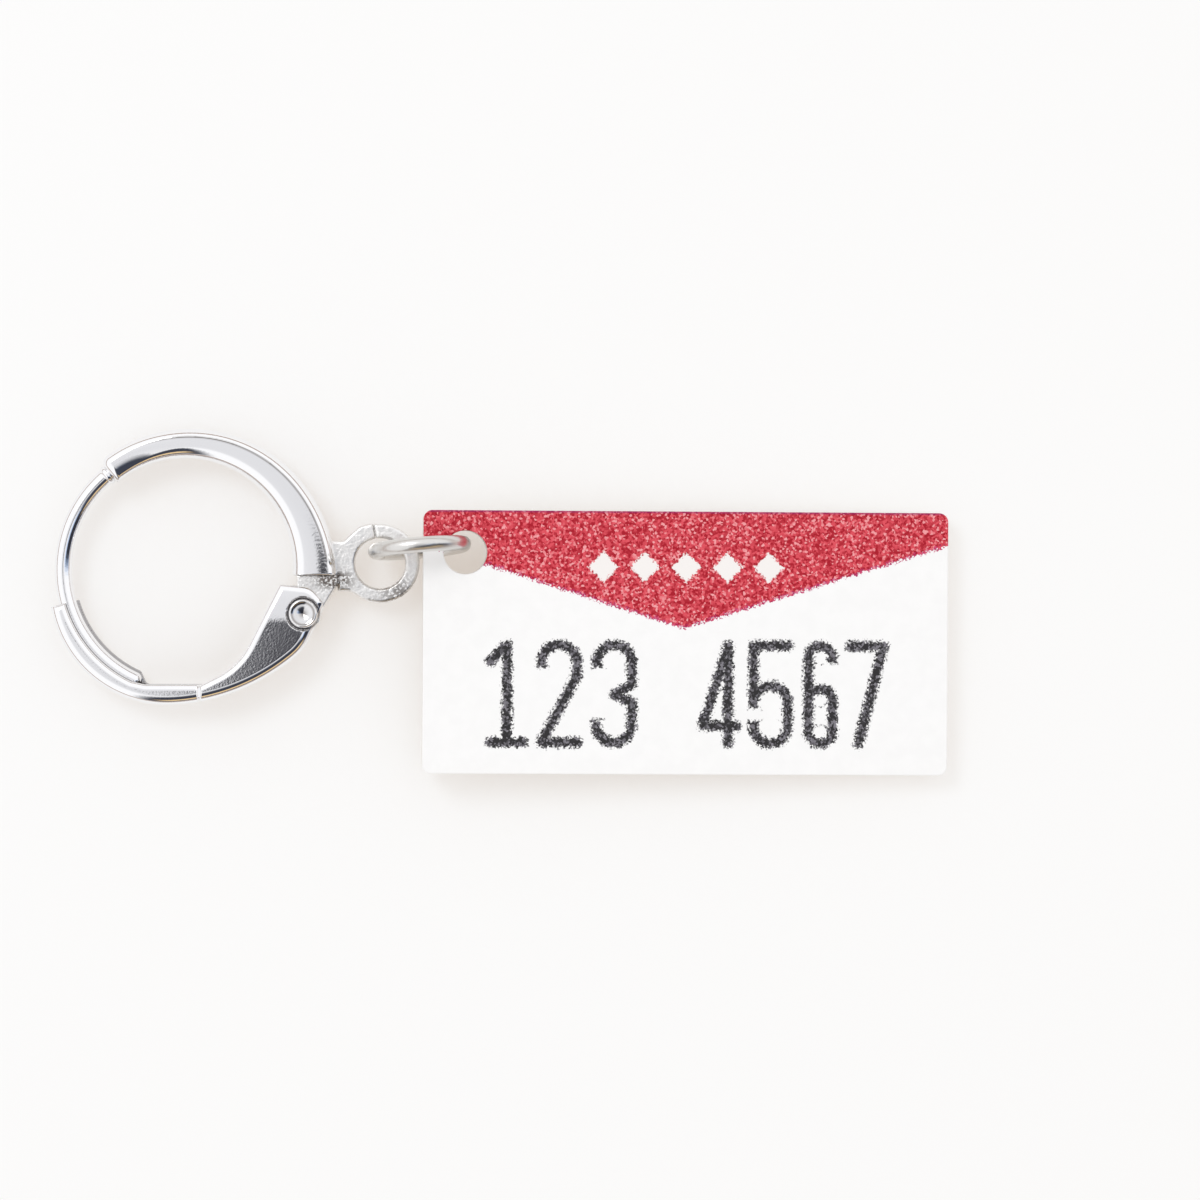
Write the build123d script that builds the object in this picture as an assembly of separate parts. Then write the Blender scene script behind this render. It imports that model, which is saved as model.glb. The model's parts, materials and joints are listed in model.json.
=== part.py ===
from build123d import *
from math import acos, atan2, cos, degrees, radians, sin, sqrt
import os

# Stitch marker: a lever-back hoop that opens, a jump ring and a flat oblong charm.
# Lengths are millimetres. While the pieces are made, the hoop's wire circle is centred
# on the origin and the hoop's middle plane is Z = 0: X points to the charm, Z is up.

# Hoop wire
wire_circle_radius = 5.92
wire_diameter = 0.84
wire_tip_turn = 248.2
wire_tip_round = 0.25
wire_seat_depth = 1.5
collar_diameter = 1.0
collar_length = 0.28

# Hoop shell: the tapering curved housing that holds the wire at one end, the hinge at the other
shell_inner_wall = 0.28
shell_outer_wall = 0.59
shell_opening_lift = 0.15
shell_outer_shift = 0.27
shell_outer_drop = 0.125
shell_start_turn = 128.2
shell_flank_turn = 38.6
shell_flank_flare = 0.46
shell_face_drop = 0.28
shell_tip_width = 1.75
shell_outer_round = 0.4
shell_inner_round = 0.6
shell_tip_round = 0.45

# Hinge and lever
hinge_turn = -20.34
hinge_offset = 0.22
lever_width = 2.4
sheet_thickness = 0.3
lever_head_radius = 1.31
lever_edge_round = 0.25
arm_edge_bevel = 0.18
arm_side_clearance = 0.06
arm_base_clearance = 0.2
joggle_place = 0.85
middle_edge_depth = 1.02
middle_left_place = -1.91
near_wall_height = 0.85
near_wall_end_turn = 244.0
far_wall_height = 1.45
far_wall_end_turn = 246.0

# Outer line of the lever, as turns about the hoop and depths inside the arm's outer radius
trough_start_turn = 195.7
trough_middle_turn = 227.8
trough_end_turn = 265.3
flank_end_turn = 321.6
trough_start_depth = 0.1
trough_middle_depth = -0.07
trough_end_depth = 0.27
flank_end_depth = 0.014
# Head of the lever round the hinge, as shares of its radius
base_start_share = (0.245, -0.88)
head_corner_share = (-0.87, 1.09)
head_top_share = (0.26, 0.975)
head_side_share = 1.38
head_side_bend = 0.6
head_top_bend = 0.95
# Far corners that leave the channel open towards the hoop's middle, as turns about the hoop
channel_open_turns = (45.0, 135.0)
# Bend in the inner line of the cheeks, as a turn about the hoop and a share of the wire circle
cheek_bend_share = (299.4, 0.904)
cheek_bend_radius = 3.5

# Leaf spring inside the lever
spring_thickness = 0.11
spring_width = 1.2
spring_turn = 40.0
spring_gap = 0.02
spring_reach = 0.1
spring_length = 4.5

# Rivet
rivet_radius = 0.4
rivet_clearance = 0.03
rivet_head_radius = 0.69
rivet_head_height = 0.15
rivet_dish_radius = 0.56
rivet_dish_depth = 0.06
rivet_dimple_radius = 0.2
rivet_dimple_depth = 0.1
countersink_radius = 0.82
countersink_depth = 0.08

# Hinge tab with its knuckle, and the loop cast on it
knuckle_radius = 0.84
knuckle_side_clearance = 0.05
knuckle_flat_depth = 0.1
tab_inner_offset = 0.32
tab_outer_inset = 0.02
tab_shoulder_drop = 0.42
tongue_length = 1.64
tongue_top = 1.4
loop_outer_radius = 1.91
loop_inner_radius = 1.21
loop_thickness = 0.6
loop_edge_bevel = 0.12
loop_reach = 2.04
loop_lift = 0.3
neck_drop = 1.04
neck_corner_share = (-0.49, 0.95)
neck_bend_share = (-0.9, 0.573)
loop_slit_turn = 100.0
loop_slit_width = 0.03

# Jump ring
ring_circle_radius = 2.125
ring_wire_diameter = 0.75
ring_yaw = 5.0
ring_lean = 3.5
ring_crossing_turn = 26.6
ring_advance = 0.55
ring_side_shift = 0.045
ring_slit_width = 0.02
ring_slit_turn = 200.0

# Charm
charm_length = 25.4
charm_height = 12.7
charm_thickness = 1.5
charm_corner_round = 0.45
charm_edge_bevel = 0.06
charm_hole_diameter = 2.1
charm_hole_inset = 2.03
charm_pitch = 3.06
charm_yaw = -0.33
charm_hole_advance = 2.18
charm_hole_drop = 0.215

# Length and turn by which cutting shapes run past what they cut
overrun = 0.5
overrun_turn = 5.0
# Largest rounding of an edge, as shares of what the wall leaves for it
round_limit_share = 0.9
outer_round_limit_share = 0.6

# Worked out from the sizes above
wire_radius = wire_diameter / 2
opening_radius = wire_circle_radius - wire_radius - shell_inner_wall
shell_outer_radius = wire_circle_radius + wire_radius + shell_outer_wall
hinge_face_reach = shell_outer_radius + shell_flank_flare
half_lever = lever_width / 2
half_knuckle = half_lever - sheet_thickness - knuckle_side_clearance
half_trough = wire_radius + arm_side_clearance
half_arm = half_trough + sheet_thickness
arm_outer_radius = wire_circle_radius + wire_radius + arm_base_clearance + sheet_thickness
hoop_height = half_lever + rivet_head_height
far_away = 2 * arm_outer_radius
ring_outer_radius = ring_circle_radius + ring_wire_diameter / 2


def polar(radius, turn):
    """Point at a distance and a turn, in degrees, about the middle of the hoop."""
    return Vector(radius * cos(radians(turn)), radius * sin(radians(turn)))


def turn_of(point):
    return degrees(atan2(point.Y, point.X))


def reach_circle(turn, centre, radius):
    """Point where a ray from the middle of the hoop meets a circle round it."""
    ray = polar(1, turn)
    along = centre.dot(ray)
    across = centre.cross(ray).length
    return ray * (along + sqrt(radius**2 - across**2))


def about_hinge(share):
    return hinge + Vector(share[0], share[1]) * lever_head_radius


def inward(point, depth):
    return point * (1 - depth / point.length)


def slab(face, half_thickness):
    return extrude(face, amount=half_thickness, dir=(0, 0, 1), both=True)


def level_edges(solid):
    """Edges of a slab's two flat sides."""
    levels = solid.edges().group_by(Axis.Z)
    return levels[0] + levels[-1]


hinge = polar(wire_circle_radius + hinge_offset, hinge_turn)
loop_centre = Vector(hinge_face_reach + loop_reach, loop_lift)


def make_wire_shape(radius, start_turn, end_turn):
    """Round bar bent along the hoop's wire circle."""
    section = Plane(origin=polar(wire_circle_radius, start_turn), z_dir=polar(1, start_turn + 90)) * Circle(radius)
    return revolve(section, Axis.Z, revolution_arc=end_turn - start_turn)


def make_ear_wire():
    seat_turn = degrees(wire_seat_depth / wire_circle_radius)
    collar_turn = degrees(collar_length / wire_circle_radius)
    wire = make_wire_shape(wire_radius, shell_start_turn - seat_turn, wire_tip_turn)
    tip = polar(wire_circle_radius, wire_tip_turn)
    rims = [edge for edge in wire.edges().filter_by(GeomType.CIRCLE) if edge.radius < wire_diameter]
    tip_rim = ShapeList(rims).sort_by_distance(tip)[0]
    wire = fillet(tip_rim, min(wire_tip_round, round_limit_share * wire_radius))
    collar = make_wire_shape(collar_diameter / 2, shell_start_turn, shell_start_turn + collar_turn)
    return wire + collar


def make_shell():
    centre = Vector(shell_outer_shift, -shell_outer_drop)
    opening = Vector(0, shell_opening_lift)
    start = reach_circle(shell_start_turn, centre, shell_outer_radius)
    flank = centre + polar(shell_outer_radius, shell_flank_turn)
    crown = centre + polar(shell_outer_radius, (turn_of(start - centre) + shell_flank_turn) / 2)
    heel = Vector(hinge_face_reach, -shell_face_drop)
    face_middle = Vector(0, -shell_face_drop)
    outline = make_face([
        ThreePointArc(start, crown, flank),
        TangentArc(flank, heel, tangent=polar(1, shell_flank_turn - 90)),
        Line(heel, face_middle),
        Line(face_middle, Vector(0, 0)),
        Line(Vector(0, 0), start),
    ])
    outline -= Pos(opening) * Rot(0, 0, 180) * Circle(opening_radius)
    tip_corner = outline.vertices().sort_by_distance(start)[0]
    outline = fillet(tip_corner, shell_tip_round)
    shell = slab(outline, half_lever) & make_shell_taper(start, heel)
    middle = (start.length + opening_radius) / 2
    half_wall = middle - opening_radius
    curved = shell.edges().filter_by(GeomType.LINE, reverse=True)
    inner = [edge for edge in curved if (edge @ 0.5 - opening).length < middle]
    shell = fillet(inner, min(shell_inner_round, half_wall * round_limit_share))
    curved = [edge for edge in shell.edges() if edge.geom_type in (GeomType.ELLIPSE, GeomType.BSPLINE)]
    outer = [edge for edge in curved if (edge @ 0.5 - opening).length > middle and abs((edge @ 0.5).Z) > 0]
    return fillet(outer, min(shell_outer_round, half_wall * outer_round_limit_share))


def make_shell_taper(start, heel):
    """Wedge that narrows the shell from the hinge to the wire."""
    slope = (half_lever - shell_tip_width / 2) / (heel.X - start.X)
    half_far = half_lever - slope * (heel.X + far_away)
    half_near = half_lever + slope * overrun
    wedge = make_face(Polyline(
        (-far_away, 0, -half_far),
        (heel.X + overrun, 0, -half_near),
        (heel.X + overrun, 0, half_near),
        (-far_away, 0, half_far),
        close=True,
    ))
    return extrude(wedge, amount=far_away, dir=(0, 1, 0), both=True)


def make_tab():
    """Knuckle, web and tongue of the hinge tab, with the loop and its neck in one casting."""
    shoulder = Vector(hinge_face_reach - tab_outer_inset, -shell_face_drop - tab_shoulder_drop)
    side = tangent_point(shoulder, hinge, knuckle_radius)
    inner_place = hinge.X - tab_inner_offset
    web = make_face(Polyline(
        (inner_place, -shell_face_drop),
        (shoulder.X, -shell_face_drop),
        (shoulder.X, shoulder.Y),
        (side.X, side.Y),
        (hinge.X, hinge.Y),
        (inner_place, hinge.Y),
        close=True,
    ))
    flat = Pos(hinge) * Rot(0, 0, spring_turn) * Pos(0, -knuckle_radius + knuckle_flat_depth / 2)
    knuckle = Pos(hinge) * Circle(knuckle_radius)
    knuckle -= flat * Rectangle(2 * knuckle_radius, knuckle_flat_depth)
    block = slab(web + knuckle, half_knuckle)
    tab = make_loop_plate() + block
    pin_hole = Pos(hinge) * Cylinder(rivet_radius + rivet_clearance, lever_width)
    return tab - pin_hole


def make_loop_plate():
    neck_top = Vector(loop_centre.X + neck_bend_share[0] * loop_outer_radius, tongue_top)
    corner = loop_centre + Vector(neck_corner_share[0], neck_corner_share[1]) * loop_outer_radius
    crest = loop_centre + polar(loop_outer_radius, loop_slit_turn)
    low = -neck_drop
    tongue_place = hinge_face_reach - tongue_length
    shoulder_place = hinge_face_reach - tab_outer_inset
    outline = make_face(Polyline(
        (tongue_place, -shell_face_drop),
        (shoulder_place, -shell_face_drop),
        (shoulder_place, low),
        (loop_centre.X - loop_inner_radius, low),
        (loop_centre.X, loop_centre.Y),
        (crest.X, crest.Y),
        (corner.X, corner.Y),
        (neck_top.X, neck_top.Y),
        (tongue_place, tongue_top),
        close=True,
    ))
    outline += Pos(loop_centre) * Circle(loop_outer_radius)
    outline -= Pos(loop_centre) * Circle(loop_inner_radius)
    plate = slab(outline, loop_thickness / 2)
    rim = [edge for edge in level_edges(plate) if (edge @ 0.5).X > hinge_face_reach]
    plate = chamfer(rim, loop_edge_bevel)
    slit_length = loop_outer_radius - loop_inner_radius + overrun
    slit = Pos(loop_centre) * Rot(0, 0, loop_slit_turn) * Pos((loop_outer_radius + loop_inner_radius) / 2, 0)
    return plate - slit * Box(slit_length, loop_slit_width, loop_thickness + overrun)


def tangent_point(point, centre, radius):
    """Point where a line from a point touches the far side of a circle."""
    gap = point - centre
    lean = degrees(acos(radius / gap.length))
    return centre + polar(radius, turn_of(gap) - lean)


def lever_plan():
    """Side outline of the whole lever, and the outline of the channel inside it."""
    trough = [
        polar(arm_outer_radius - trough_start_depth, trough_start_turn),
        polar(arm_outer_radius - trough_middle_depth, trough_middle_turn),
        polar(arm_outer_radius - trough_end_depth, trough_end_turn),
    ]
    flank_end = polar(arm_outer_radius - flank_end_depth, flank_end_turn)
    start = about_hinge(base_start_share)
    trough_line = ThreePointArc(trough[0], trough[1], trough[2])
    flank_line = TangentArc(trough[2], flank_end, tangent=trough_line % 1)
    heel_line = TangentArc(flank_end, start, tangent=flank_line % 1)
    side = start + (heel_line % 1) * head_side_share * lever_head_radius
    top = about_hinge(head_top_share)
    corner = about_hinge(head_corner_share)
    cheek_bend = polar(wire_circle_radius * cheek_bend_share[1], cheek_bend_share[0])
    joggle = Vector(joggle_place, -arm_outer_radius + trough_end_depth + middle_edge_depth)
    middle_left = Vector(middle_left_place, joggle.Y)
    wall_radius = arm_outer_radius - far_wall_height
    wall_end = polar(wall_radius, far_wall_end_turn)
    wall_middle = polar(wall_radius, trough_middle_turn)
    wall_start = polar(wall_radius, trough_start_turn)
    outline = make_face([
        trough_line,
        flank_line,
        heel_line,
        Polyline(start, side, top, corner, cheek_bend, joggle, middle_left, wall_end),
        ThreePointArc(wall_end, wall_middle, wall_start),
        Line(wall_start, trough[0]),
    ])
    for place, radius in ((side, head_side_bend), (top, head_top_bend), (cheek_bend, cheek_bend_radius)):
        outline = fillet(outline.vertices().sort_by_distance(place)[0], radius)
    low = [inward(point, sheet_thickness) for point in trough]
    low_trough = ThreePointArc(low[0], low[1], low[2])
    low_flank_end = inward(flank_end, sheet_thickness)
    base_ray = (start - hinge).normalized()
    base_end = start - base_ray * sheet_thickness
    clear = hinge + base_ray * far_away
    open_turns = (channel_open_turns[0], channel_open_turns[1], trough_start_turn - overrun_turn)
    channel = make_face([
        low_trough,
        TangentArc(low[2], low_flank_end, tangent=low_trough % 1),
        Polyline(low_flank_end, base_end, clear, *[polar(far_away, turn) for turn in open_turns], low[0]),
    ])
    return outline, channel


def side_of_joggle(face, place, sign):
    """Part of a flat outline that lies right (1) or left (-1) of a place along X."""
    return face & Pos(place + sign * far_away, 0) * Rectangle(2 * far_away, 4 * far_away)


def make_lever():
    outline, channel = lever_plan()
    cheeks = slab(side_of_joggle(outline, joggle_place, 1), half_lever)
    cheeks = fillet(level_edges(cheeks), min(lever_edge_round, round_limit_share * sheet_thickness))
    arm = slab(side_of_joggle(outline, joggle_place, -1), half_arm)
    arm = chamfer(level_edges(arm), min(arm_edge_bevel, round_limit_share * sheet_thickness))
    step = joggle_place + sheet_thickness
    lever = cheeks + arm
    lever -= slab(side_of_joggle(channel, step, 1), half_lever - sheet_thickness)
    lever -= slab(side_of_joggle(channel, step + overrun, -1), half_trough)
    lever -= make_near_wall_cut()
    pin = Pos(hinge) * Cylinder(rivet_radius, lever_width + overrun)
    sink = Cylinder(countersink_radius, 2 * countersink_depth)
    lever -= pin
    lever -= Pos(hinge.X, hinge.Y, half_lever) * sink
    return lever - Pos(hinge.X, hinge.Y, -half_lever) * sink


def make_near_wall_cut():
    """Space that leaves the trough's upper wall lower than its under wall."""
    radius = arm_outer_radius - near_wall_height
    first = trough_start_turn - overrun_turn
    sector = make_face(Polyline(
        (0, 0), polar(far_away, first), polar(far_away, near_wall_end_turn), close=True,
    ))
    low = sector & Circle(radius)
    return Pos(0, 0, half_arm) * slab(low, sheet_thickness + arm_side_clearance)


def make_spring():
    """Leaf spring wedged on the lever's base, its free end along the knuckle's flat."""
    outline, channel = lever_plan()
    depth = knuckle_radius - knuckle_flat_depth + spring_gap + spring_thickness / 2
    place = Pos(hinge) * Rot(0, 0, spring_turn) * Pos(spring_reach - spring_length / 2, -depth)
    strip = place * Rectangle(spring_length, spring_thickness)
    return slab(strip & channel & outline, spring_width / 2)


def make_rivet():
    inner = half_lever - countersink_depth
    outer = half_lever + rivet_head_height
    dish = outer - rivet_dish_depth
    half = make_face([
        Line((0, 0), (rivet_radius, 0)),
        Line((rivet_radius, 0), (rivet_radius, inner)),
        Line((rivet_radius, inner), (rivet_head_radius, inner)),
        Line((rivet_head_radius, inner), (rivet_head_radius, dish)),
        Polyline((rivet_head_radius, dish), ((rivet_head_radius + rivet_dish_radius) / 2, outer),
                 (rivet_dish_radius, dish), (rivet_dimple_radius, dish), (0, dish - rivet_dimple_depth), (0, 0)),
    ])
    spun = revolve(Plane.XZ * half, Axis.Z)
    return Pos(hinge) * (spun + mirror(spun, Plane.XY))


def ring_place():
    """Where the jump ring's own frame stands: local Z is the ring's axis, local Y is up."""
    crossing_radius = (loop_outer_radius + loop_inner_radius) / 2
    crossing = loop_centre + polar(crossing_radius, ring_crossing_turn)
    return Location((
        crossing.X + ring_advance,
        crossing.Y + ring_side_shift,
        ring_outer_radius - hoop_height,
    )) * Rot(0, 0, ring_yaw) * Rot(90 - ring_lean, 0, 0)


def make_ring():
    section = Plane.XZ * Pos(ring_circle_radius, 0) * Circle(ring_wire_diameter / 2)
    slit_turn = degrees(ring_slit_width / ring_circle_radius)
    ring = revolve(section, Axis.Z, revolution_arc=360 - slit_turn)
    return ring_place() * Rot(0, 0, ring_slit_turn) * ring


def charm_place():
    """Where the charm's own frame stands: its middle, X along its length."""
    ring = ring_place().position
    tilt = Rot(0, 0, charm_yaw) * Rot(0, charm_pitch, 0)
    hole = Vector(charm_hole_inset - charm_length / 2, charm_height / 2 - charm_hole_inset, 0)
    shift = (tilt * Pos(hole)).position
    rise = charm_length / 2 * sin(radians(charm_pitch)) + charm_thickness / 2 * cos(radians(charm_pitch))
    return Location((
        ring.X + charm_hole_advance - shift.X,
        ring.Y - charm_hole_drop - shift.Y,
        rise - hoop_height,
    )) * tilt


def make_charm():
    plate = extrude(RectangleRounded(charm_length, charm_height, charm_corner_round), charm_thickness / 2, both=True)
    plate = chamfer(level_edges(plate), charm_edge_bevel)
    hole_place = Pos(charm_hole_inset - charm_length / 2, charm_height / 2 - charm_hole_inset)
    plate -= hole_place * Cylinder(charm_hole_diameter / 2, charm_thickness + overrun)
    return charm_place() * plate


def make_pieces():
    wire = make_ear_wire()
    tab = make_tab()
    return {
        "hoop_shell": make_shell() - wire - tab,
        "ear_wire": wire,
        "loop_tab": tab,
        "latch_lever": make_lever(),
        "latch_spring": make_spring(),
        "hinge_rivet": make_rivet(),
        "jump_ring": make_ring(),
        "charm_plate": make_charm(),
    }


def main():
    os.makedirs("parts", exist_ok=True)
    pieces = make_pieces()
    boxes = [piece.bounding_box() for piece in pieces.values()]
    low = [min(tuple(box.min)[axis] for box in boxes) for axis in range(3)]
    high = [max(tuple(box.max)[axis] for box in boxes) for axis in range(3)]
    shift = Pos(-(low[0] + high[0]) / 2, -(low[1] + high[1]) / 2, -low[2])
    for name, piece in pieces.items():
        export_step(shift * piece, "parts/" + name + ".step")
    crossing_radius = (loop_outer_radius + loop_inner_radius) / 2
    crossing = loop_centre + polar(crossing_radius, ring_crossing_turn)
    hole = Pos(charm_hole_inset - charm_length / 2, charm_height / 2 - charm_hole_inset)
    print("shift", shift.position)
    print("size", [top - bottom for bottom, top in zip(low, high)])
    print("lever hinge", (shift * Pos(hinge)).position)
    print("ring pivot", (shift * Pos(crossing)).position)
    print("ring axis", (shift * ring_place()).z_axis.direction)
    print("charm pivot", (shift * charm_place() * hole).position)
    print("charm axis", (shift * charm_place()).z_axis.direction)


main()
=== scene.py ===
import json
from math import atan2, cos, degrees, radians, sin, sqrt, tan
import bpy
import numpy as np
from mathutils import Matrix, Vector


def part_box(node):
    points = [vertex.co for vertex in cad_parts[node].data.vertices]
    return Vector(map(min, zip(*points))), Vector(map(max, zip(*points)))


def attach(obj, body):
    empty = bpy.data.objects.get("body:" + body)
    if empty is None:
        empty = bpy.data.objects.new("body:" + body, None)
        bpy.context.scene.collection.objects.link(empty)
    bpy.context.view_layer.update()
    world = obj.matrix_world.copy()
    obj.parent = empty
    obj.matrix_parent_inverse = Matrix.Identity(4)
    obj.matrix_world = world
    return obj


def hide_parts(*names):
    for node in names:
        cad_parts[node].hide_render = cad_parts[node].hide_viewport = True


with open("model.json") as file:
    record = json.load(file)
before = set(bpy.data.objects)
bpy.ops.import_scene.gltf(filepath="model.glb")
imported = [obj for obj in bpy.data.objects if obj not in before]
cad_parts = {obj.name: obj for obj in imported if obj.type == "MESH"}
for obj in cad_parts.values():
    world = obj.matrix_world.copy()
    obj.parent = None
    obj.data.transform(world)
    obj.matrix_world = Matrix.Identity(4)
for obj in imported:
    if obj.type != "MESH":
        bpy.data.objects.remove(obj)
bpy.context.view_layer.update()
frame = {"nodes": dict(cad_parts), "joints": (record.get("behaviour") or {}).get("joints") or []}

# Lengths are millimetres about the middle of the hoop's wire circle, Z = 0 in its middle plane.
# Turns are degrees about that middle, from +X towards +Y. A half is half of a thickness along Z.

# Ear wire
wire_circle_radius = 5.92
wire_radius = 0.42
wire_start_turn = 124.0
wire_tip_turn = 248.2
wire_tip_round = 0.3
collar_radius = 0.5
collar_start_turn = 128.2
collar_end_turn = 130.9

# Hoop shell
shell_outer_centre = (0.27, -0.125)
shell_outer_radius = 6.93
shell_flank_turn = 38.6
shell_heel = (7.39, -0.28)
shell_opening_centre = (0.0, 0.15)
shell_opening_radius = 5.22
shell_start_turn = 128.2
shell_start_place = -4.1
shell_tip_round = 0.45
shell_half_tip = 0.875
shell_widening = (-3.2, 0.5)
shell_outer_round = 0.62
shell_tip_edge_round = 0.42
shell_inner_round = 0.6
shell_tip_inner_round = 0.2
shell_crease = 0.05
shell_end_round = 0.08
shell_dome = 0.05
shell_tip_dome = 0.345
shell_tip_lean = 0.175
# Painted shade along the crease inside the shell's outer edge: its inset and width
crease_shade_inset = 0.41
crease_shade_width = 0.035

# Lever; its head's outline is in head radii from the hinge
hinge = (5.7572, -2.1342)
head_radius = 1.31
head_low = (0.245, -0.88)
head_side_reach = 1.38
head_top = (0.26, 0.975)
head_corner = (-0.87, 1.09)
sheet = 0.3
half_lever = 1.2
half_arm = 0.78
joggle_place = 0.85
joggle_width = 0.24
middle_edge = -5.55
middle_left = -1.91
cheek_bend = (5.352, 299.4)
far_wall_radius = 5.39
far_wall_end_turn = 246.0
near_wall_radius = 5.99
near_wall_end_turn = 244.5
trough_tip_turn = 195.7
trough_middle_turn = 227.8
trough_line = ((6.74, trough_tip_turn), (6.91, trough_middle_turn), (6.57, 265.3))
flank_end = (6.826, 321.6)
free_corner_rounds = (0, 0.6, 0.95, 0.12, 3.5, 0, 0.25, 0.2, 0)
fold_round = 0.45
free_edge_round = 0.3
free_edge_slant = 1.35
wall_split = 0.2
channel_round = 0.12
channel_edge_round = 0.04
head_dish = 0.03
head_dish_place = -2.6
countersink_radius = 0.82
countersink_depth = 0.08

# Hinge tab and loop
loop_centre = (9.43, 0.3)
loop_outer_radius = 1.91
loop_inner_radius = 1.21
half_loop = 0.3
loop_round = 0.16
loop_slit_turn = 100.0
loop_slit_width = 0.035
half_knuckle = 0.85
pin_hole_radius = 0.43
neck_outline = ((5.75, -0.28), (7.37, -0.28), (7.37, -1.04), (8.22, -1.04), (9.43, 0.3), (9.1, 2.18),
                (8.49, 2.11), (7.71, 1.4), (5.75, 1.4))
neck_rounds = (0, 0, 0.05, 0, 0, 0, 0.2, 0.2, 0)
neck_fillet = 0.25
knuckle_outline = ((5.44, -0.28), (7.37, -0.28), (7.37, -0.7), (6.6, -2.0), (6.5, -2.6), (5.77, -2.97),
                   (5.04, -2.6), (4.94, -2.0), (5.44, -1.4))
knuckle_rounds = (0, 0, 0.05, 0.3, 0.3, 0.3, 0.3, 0.3, 0.2)
tab_dirt = (7.2, -0.5)
loop_dirt = (0.9, -1.4)

# Rivet
rivet_half = 1.35
rivet_head_radius = 0.69
rivet_radius = 0.39

# Jump ring
ring_circle_radius = 2.125
ring_wire_radius = 0.375
ring_slit_turn = 200.0
ring_slit = 0.05
ring_yaw = 5.0
ring_lean = 3.5
ring_middle = (11.375, 1.0435, 1.15)

# Charm
charm_length = 25.4
charm_height = 12.7
charm_thickness = 1.5
charm_corner = 0.45
charm_bevel = 0.06
charm_hole_radius = 1.05
charm_hole_inset = 2.03
charm_pitch = 3.06
charm_yaw = -0.33

# Print on the charm, in millimetres from its middle
field_apex = (-0.12, 0.69)
field_slope = 0.317
numeral_low = -5.08
numeral_high = 0.145
numeral_sides = ((-9.69, -7.57), (-7.23, -5.0), (-4.57, -2.35),
                 (0.56, 2.73), (3.02, 5.2), (5.68, 7.37), (7.71, 9.84))
stroke = 0.26
diamond_places = (-4.0, -2.0, 0.0, 2.0, 4.0)
diamond_height = 3.65
diamond_reach = 0.72
ink_grain = 0.1
ink_fray = 0.08
plastic_patch = 0.8

# Photo's camera, in metres in the row frame
camera_place = (0.00485, 0.00011, 0.26)
photo_width = 0.05842
sensor_width = 36.0

# Where the camera shows overhead in flat metal, as a direction's level part
camera_spot = (-0.02, -0.025)

# Floor and lamp, in metres and watts
floor_height = -0.00002
floor_half = 3.0
key_place = (-0.2, 0.2, 0.42)
key_size = 0.2
key_power = 0.4

# Fineness of the meshes
voxel = 0.05
plan_step = 0.03
tube_sides = 64

# Well beyond the marker
far = 30.0

# Where the hoop's own middle lies in the row frame, in metres
joints = {joint["name"]: joint for joint in frame["joints"]}
shift = Vector(joints["lever_hinge"]["pos_m"]) - Vector((hinge[0], hinge[1], 0)) * 0.001


def polar(radius, turn):
    return np.array((radius * cos(radians(turn)), radius * sin(radians(turn))))


# Fields give a distance to a shape in millimetres, negative inside it
def round_max(a, b, radius):
    """Where two fields both hold, with a round edge."""
    u = np.maximum(a + radius, 0)
    v = np.maximum(b + radius, 0)
    return np.minimum(-radius, np.maximum(a, b)) + np.hypot(u, v)


def smooth_min(a, b, radius):
    """Where either field holds, with a fillet between them."""
    h = np.clip(0.5 + 0.5 * (b - a) / radius, 0, 1)
    return b * (1 - h) + a * h - radius * h * (1 - h)


def blend(a, b, share):
    return a + (b - a) * share


def ease(value, start, end):
    """Smooth rise from 0 at the start to 1 at the end."""
    t = np.clip((value - start) / (end - start), 0, 1)
    return t * t * (3 - 2 * t)


def arc_points(centre, first, last, turning, count=90):
    """Points of an arc, anticlockwise if turning is above 0, and its direction at the end."""
    start = atan2(first[1] - centre[1], first[0] - centre[0])
    sweep = atan2(last[1] - centre[1], last[0] - centre[0]) - start
    if turning > 0 and sweep < 0:
        sweep += radians(360)
    if turning < 0 and sweep > 0:
        sweep -= radians(360)
    radius = sqrt((first[0] - centre[0]) ** 2 + (first[1] - centre[1]) ** 2)
    turns = start + sweep * np.linspace(0, 1, count)
    points = np.stack((centre[0] + radius * np.cos(turns), centre[1] + radius * np.sin(turns)), axis=1)
    end = start + sweep
    direction = np.array((-sin(end), cos(end))) * (1 if turning > 0 else -1)
    return points, direction


def arc_through(a, b, c):
    """Arc from the first point through the second to the third."""
    turning = a[0] * (b[1] - c[1]) + b[0] * (c[1] - a[1]) + c[0] * (a[1] - b[1])
    sizes = [p[0] ** 2 + p[1] ** 2 for p in (a, b, c)]
    x = sizes[0] * (b[1] - c[1]) + sizes[1] * (c[1] - a[1]) + sizes[2] * (a[1] - b[1])
    y = sizes[0] * (c[0] - b[0]) + sizes[1] * (a[0] - c[0]) + sizes[2] * (b[0] - a[0])
    return arc_points((x / (2 * turning), y / (2 * turning)), a, c, turning)


def arc_from(a, direction, c):
    """Arc that leaves a point in a direction and ends at another."""
    normal = np.array((-direction[1], direction[0]))
    gap = c - a
    reach = gap.dot(gap) / (2 * gap.dot(normal))
    return arc_points(a + normal * reach, a, c, reach)


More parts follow.
